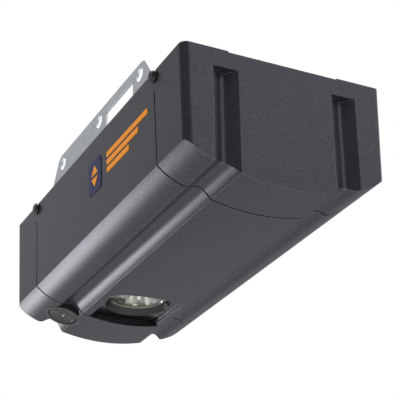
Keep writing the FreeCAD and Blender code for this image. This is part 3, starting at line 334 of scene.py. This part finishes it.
def reflector_facets():
    """The mirror's facets: separate panes in rings, each tipped a little its own way."""
    low, high = corners_mm("lamp_reflector")
    centre_x, centre_y = (low.x + high.x) / 2, (low.y + high.y) / 2
    draw = random.Random(7)
    verts, faces = [], []
    for (r0, h0), (r1, h1) in zip(MIRROR_PROFILE, MIRROR_PROFILE[1:]):
        for n in range(PANES):
            start = len(verts)
            for r, h, step in ((r0, h0, 0), (r0, h0, 1), (r1, h1, 1), (r1, h1, 0)):
                a = 2 * math.pi * (n + step) / PANES
                near = r - draw.uniform(0, PANE_TIP)
                verts.append((centre_x + near * math.cos(a), centre_y + near * math.sin(a), low.z + h))
            faces.append(tuple(range(start, start + 4)))
    shell = piece("reflector_facets", verts, faces, "mirror_glass", "chassis")
    wall = shell.modifiers.new("wall", "SOLIDIFY")
    wall.thickness = PANE_T * MM
    wall.offset = 0


def badge_plate(name, outline, low, high):
    """A thin plate on the badge's face, which leans out with the wall from its lower to its upper edge.

    outline is points of X and Z, and low and high are the corners of the badge's box.
    """
    foot_y = high.y - BADGE_T
    verts = []
    for depth in (0.0, ARROW_T):
        for x, z in outline:
            share = (z - low.z) / (high.z - low.z)
            verts.append((x, foot_y + (low.y - foot_y) * share - depth, z))
    n = len(outline)
    faces = [tuple(reversed(range(n))), tuple(range(n, 2 * n))]
    faces += [(k, (k + 1) % n, n + (k + 1) % n, n + k) for k in range(n)]
    piece(name, verts, faces, "stripe_orange", "hood")


def badge_arrows():
    """A plain pictogram on the badge: one triangle up and one down."""
    low, high = corners_mm("side_badge")
    x, z = (low.x + high.x) / 2, (low.z + high.z) / 2
    left, right = x - ARROW_HALF, x + ARROW_HALF
    up, down = z + ARROW_GAP, z - ARROW_GAP
    badge_plate("badge_arrow_up", [(left, up), (right, up), (x, up + ARROW_RISE)], low, high)
    badge_plate("badge_arrow_down", [(left, down), (x, down - ARROW_RISE), (right, down)], low, high)


def button_frame():
    """The middle of the collar's front edge, and unit vectors across, along the face and inwards."""
    joints = frame["record"]["behaviour"]["joints"]
    inward = Vector(next(j["axis"] for j in joints if j["name"] == "button_press")).normalized()
    low, high = corners_mm("button_bezel")
    y = low.y + COLLAR_FLANGE_R * inward.z - COLLAR_FLANGE_DEPTH * inward.y
    z = low.z + COLLAR_R * inward.y
    across = Vector((1, 0, 0))
    return Vector(((low.x + high.x) / 2, y, z)), across, inward.cross(across), inward


def dish_depth(r):
    """How far behind the collar's edge the button's dished face lies, at radius r."""
    return DISH_DEPTH - (r - DISH_MIDDLE_R) / DISH_RUN


def button_ring(name, r):
    """A fine raised ring on the button's face."""
    front, across, along, inward = button_frame()
    count = len(RING_SECTION)
    verts, faces = [], []
    for n in range(RING_STEPS):
        a = 2 * math.pi * n / RING_STEPS
        spoke = across * math.cos(a) + along * math.sin(a)
        for dr, dz in RING_SECTION:
            verts.append(front + spoke * (r + dr) + inward * (dish_depth(r) + dz))
    for n in range(RING_STEPS):
        this, following = n * count, (n + 1) % RING_STEPS * count
        for k in range(count):
            after = (k + 1) % count
            faces.append((this + k, following + k, following + after, this + after))
    piece(name, verts, faces, "smoked_clear", "button", smooth=True)


def button_marks():
    """Three small pale studs on the middle of the button's face."""
    front, across, along, inward = button_frame()
    verts, faces = [], []
    for n in range(STUDS):
        middle = front + across * (STUD_PITCH * (n - 1)) + along * STUD_RISE
        start = len(verts)
        for depth, r in STUD_LAYERS:
            for k in range(STUD_SIDES):
                a = 2 * math.pi * k / STUD_SIDES
                rim = across * (r * math.cos(a)) + along * (r * math.sin(a))
                verts.append(middle + rim + inward * depth)
        for layer in range(len(STUD_LAYERS) - 1):
            base = start + layer * STUD_SIDES
            for k in range(STUD_SIDES):
                a, b = base + k, base + (k + 1) % STUD_SIDES
                faces.append((a, b, b + STUD_SIDES, a + STUD_SIDES))
        faces.append(tuple(range(start + 2 * STUD_SIDES, start + 3 * STUD_SIDES)))
        faces.append(tuple(reversed(range(start, start + STUD_SIDES))))
    piece("button_marks", verts, faces, "ceramic_white", "button")


badge_arrows()
reflector_facets()
button_ring("button_ring_outer", 10.2)
button_ring("button_ring_inner", 5.0)
button_marks()


# ---- stage ----
FLOOR_SIZE = 30
FLOOR_Z = -1.6
BACKDROP, ROOM_LIGHT = 1.0, 0.38
ROOM_TINT = (0.93, 0.95, 1.0, 1.0)
MIDDLE = Vector((0, 0, -0.05))      # the middle of the housing, which the soft boxes face
# name, direction from the middle, distance along it, width and height, watts
SOFT_BOXES = (
    ("key", (-0.86, -0.36, -0.42), 1.4, (0.40, 0.30), 5),
    ("side", (0.28, 0.86, 0.43), 1.7, (0.9, 1.4), 10),
    ("end", (0.80, 0.41, 0.44), 2.2, (1.3, 1.3), 7),
    ("near", (-0.80, -0.41, 0.44), 2.2, (1.0, 1.0), 1),
)


def pale_floor():
    half = FLOOR_SIZE / 2
    mesh = bpy.data.meshes.new("floor")
    mesh.from_pydata([(-half, -half, 0), (half, -half, 0), (half, half, 0), (-half, half, 0)],
                     [], [(0, 1, 2, 3)])
    floor = bpy.data.objects.new("floor", mesh)
    floor.location = (0, 0, FLOOR_Z)
    bpy.context.collection.objects.link(floor)
    paper = Shader("floor_paper")
    mottle = paper.span(paper.noise(3, 2), 0.0, 1.0)
    paper.colour(paper.mix(mottle, (0.90, 0.90, 0.89), (0.94, 0.94, 0.93)))
    paper.rough(paper.span(paper.noise(40, 3), 0.75, 0.9))
    mesh.materials.append(paper.material)


def studio_world():
    """A white backdrop behind the object, and a dimmer room for everything that it lights."""
    world = bpy.data.worlds.new("studio")
    world.use_nodes = True
    nodes, links = world.node_tree.nodes, world.node_tree.links
    white = nodes["Background"]
    white.inputs["Color"].default_value = WHITE
    white.inputs["Strength"].default_value = BACKDROP
    room = nodes.new("ShaderNodeBackground")
    room.inputs["Color"].default_value = ROOM_TINT
    room.inputs["Strength"].default_value = ROOM_LIGHT
    chosen = nodes.new("ShaderNodeMixShader")
    links.new(nodes.new("ShaderNodeLightPath").outputs["Is Camera Ray"], chosen.inputs["Fac"])
    links.new(room.outputs["Background"], chosen.inputs[1])
    links.new(white.outputs["Background"], chosen.inputs[2])
    links.new(chosen.outputs["Shader"], nodes["World Output"].inputs["Surface"])
    bpy.context.scene.world = world


def area_light(name, at, target, size, power):
    light = bpy.data.lights.new(name, "AREA")
    light.shape = "RECTANGLE"
    light.size, light.size_y = size
    light.energy = power
    thing = bpy.data.objects.new(name, light)
    thing.location = at
    thing.rotation_euler = (Vector(target) - Vector(at)).to_track_quat("-Z", "Y").to_euler()
    bpy.context.collection.objects.link(thing)


pale_floor()
studio_world()
for name, direction, distance, size, watts in SOFT_BOXES:
    area_light(name, MIDDLE + Vector(direction) * distance, MIDDLE, size, watts)
area_light("overhead", (0.0, 0.0, 2.6), (0, 0, 0), (3.0, 3.0), 170)

# ---- camera ----
CAMERA_AT = (0.90404, -0.45319, -0.53412)
LENS, SENSOR_WIDTH = 116.65, 36.0    # millimetres
AZIMUTH, ELEVATION, ROLL = (math.radians(angle) for angle in (27.525, -26.123, -1.707))

camera_data = bpy.data.cameras.new("camera")
camera_data.lens = LENS
camera_data.sensor_width = SENSOR_WIDTH
camera = bpy.data.objects.new("camera", camera_data)
back = Vector((math.cos(ELEVATION) * math.cos(AZIMUTH), -math.cos(ELEVATION) * math.sin(AZIMUTH),
               math.sin(ELEVATION)))
right = (-back).cross(Vector((0, 0, 1))).normalized()
up = right.cross(-back)
side = right * math.cos(ROLL) + up * math.sin(ROLL)
top = up * math.cos(ROLL) - right * math.sin(ROLL)
turn = Matrix((side, top, back)).transposed().to_4x4()
camera.matrix_world = Matrix.Translation(CAMERA_AT) @ turn
bpy.context.collection.objects.link(camera)
bpy.context.scene.camera = camera
bpy.context.scene.view_settings.view_transform = "Standard"
